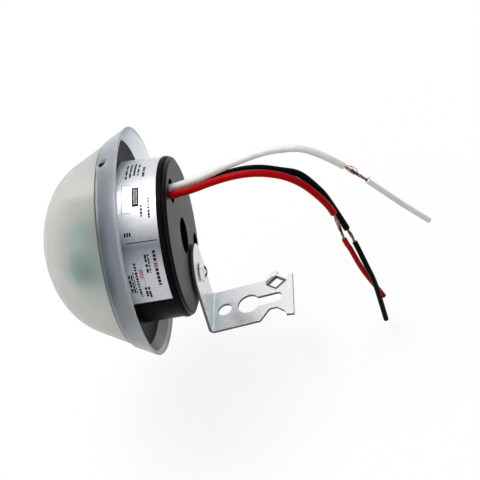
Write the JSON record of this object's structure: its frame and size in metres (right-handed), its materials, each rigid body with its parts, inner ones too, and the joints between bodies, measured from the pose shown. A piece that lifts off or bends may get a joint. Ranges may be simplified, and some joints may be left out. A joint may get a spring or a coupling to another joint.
{
  "type": "photocell switch",
  "caption": "Light sensor switch with a translucent domed cover over a round black base, a folded keyhole bracket and three stripped leads.",
  "frame": {"origin": "on the outer face of the bracket's foot, midway between its fixing hole and its keyhole", "axes": "+X along the foot, away from the switch head; +Z from the foot's outer face towards the head; +Y completes the frame, towards the foot's diamond cut"},
  "size_m": [0.1171, 0.0716, 0.0942],
  "materials": {
    "milky_plastic": "translucent milky moulding with a soft sheen",
    "black_plastic": "satin black moulding",
    "silver_foil": "brushed silver foil",
    "zinc_plate": "bright zinc plate",
    "screw_steel": "plated screw",
    "board_laminate": "green laminate",
    "relay_blue": "moulded case",
    "film_resin": "dipped resin",
    "can_sleeve": "shrink sleeve",
    "sensor_ceramic": "lacquered ceramic disc",
    "resistor_tan": "lacquered body",
    "moulding_black": "black moulding compound",
    "diode_glass": "glass body",
    "solder_tin": "tinned",
    "white_insulation": "white wire insulation",
    "black_insulation": "black wire insulation",
    "red_insulation": "red wire insulation",
    "copper": "bare stranded copper"
  },
  "bodies": {
    "root": {"dome_cover": "milky_plastic", "base_housing": "black_plastic", "rating_label": "silver_foil", "mounting_bracket": "zinc_plate", "bracket_screw": "screw_steel", "circuit_board": "board_laminate", "relay_case": "relay_blue", "film_capacitor": "film_resin", "electrolytic_capacitor": "can_sleeve", "light_sensor": "sensor_ceramic", "resistor_1": "resistor_tan", "resistor_2": "resistor_tan", "resistor_3": "resistor_tan", "resistor_4": "resistor_tan", "rectifier_diode_1": "moulding_black", "rectifier_diode_2": "moulding_black", "zener_diode": "diode_glass", "transistor": "moulding_black", "white_terminal": "solder_tin", "black_terminal": "solder_tin", "red_terminal": "solder_tin", "white_lead": "white_insulation", "white_copper": "copper", "white_tip": "white_insulation", "black_lead": "black_insulation", "black_copper": "copper", "black_tip": "black_insulation", "red_lead": "red_insulation", "red_copper": "copper", "red_tip": "red_insulation"}
  },
  "joints": []
}
